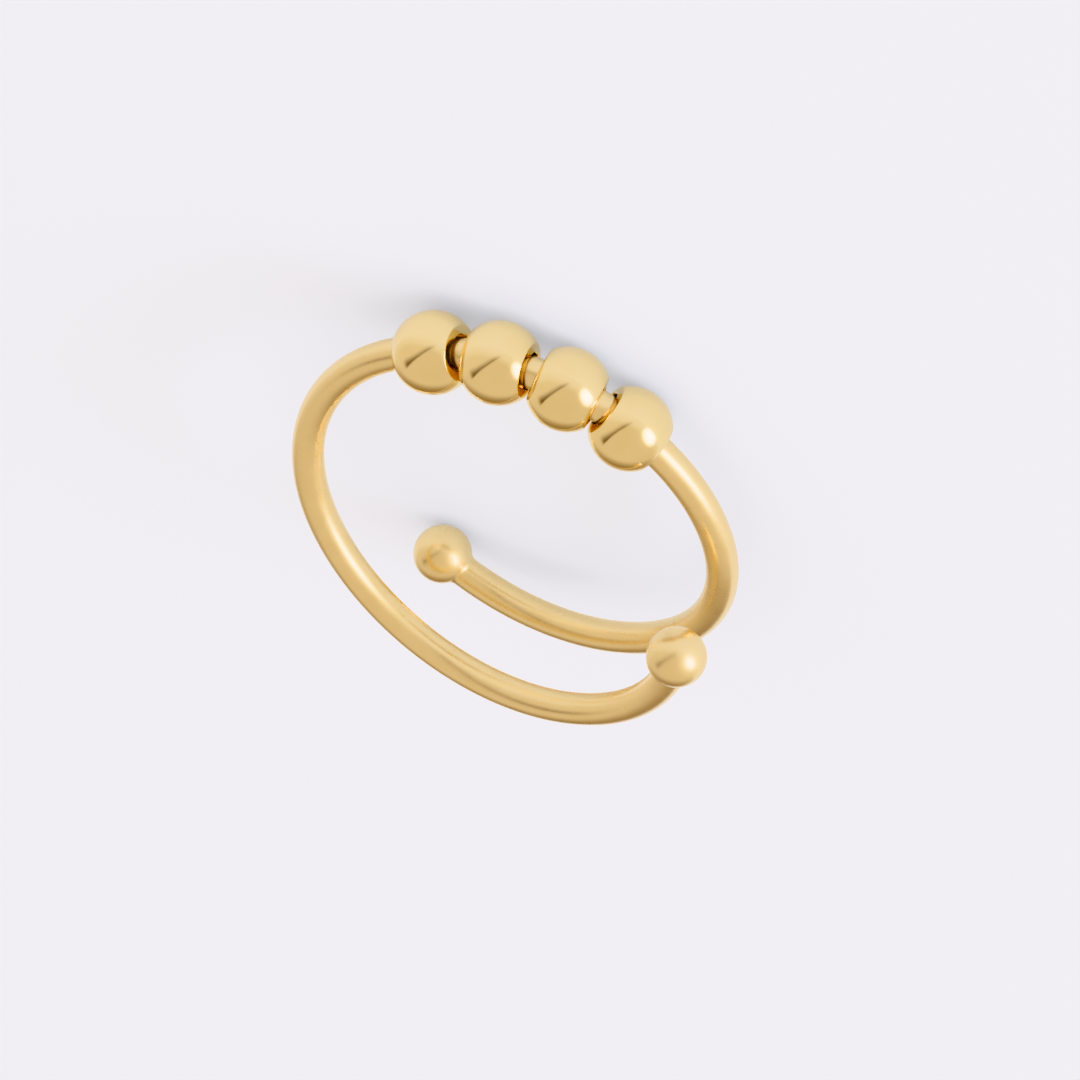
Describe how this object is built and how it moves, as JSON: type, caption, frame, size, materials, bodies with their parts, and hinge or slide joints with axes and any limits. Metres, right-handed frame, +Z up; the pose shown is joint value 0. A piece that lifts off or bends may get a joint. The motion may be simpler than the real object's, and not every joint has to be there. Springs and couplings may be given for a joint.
{
  "type": "spinner ring",
  "caption": "Open finger ring of round gold-coloured wire, wound past one turn, with a ball on each end and plain round beads that spin on the wire.",
  "frame": {"origin": "centre of the lying ring's box, on the floor plane", "axes": "+Z up from the floor that the ring lies on, -Y towards the row of beads, +X to the right seen from the beads' side"},
  "size_m": [0.0206, 0.0212, 0.0076],
  "materials": {
    "wire_gold": "polished",
    "bead_gold": "polished"
  },
  "bodies": {
    "band": {"band": "wire_gold"},
    "bead_1": {"bead_1": "bead_gold"},
    "bead_2": {"bead_2": "bead_gold"},
    "bead_3": {"bead_3": "bead_gold"},
    "bead_4": {"bead_4": "bead_gold"}
  },
  "joints": [
    {"name": "bead_1_spin", "type": "hinge", "parent": "band", "child": "bead_1", "pos_m": [-0.00429, -0.00775, 0.0018], "axis": [0.8778, -0.4789, -0.0134], "continuous": true},
    {"name": "bead_2_spin", "type": "hinge", "parent": "band", "child": "bead_2", "pos_m": [-0.00137, -0.00876, 0.0018], "axis": [0.9857, -0.1682, 0.0134], "continuous": true},
    {"name": "bead_3_spin", "type": "hinge", "parent": "band", "child": "bead_3", "pos_m": [0.00171, -0.00877, 0.00188], "axis": [0.9862, 0.1609, 0.0386], "continuous": true},
    {"name": "bead_4_spin", "type": "hinge", "parent": "band", "child": "bead_4", "pos_m": [0.00463, -0.00778, 0.00203], "axis": [0.8793, 0.4725, 0.0597], "continuous": true}
  ]
}
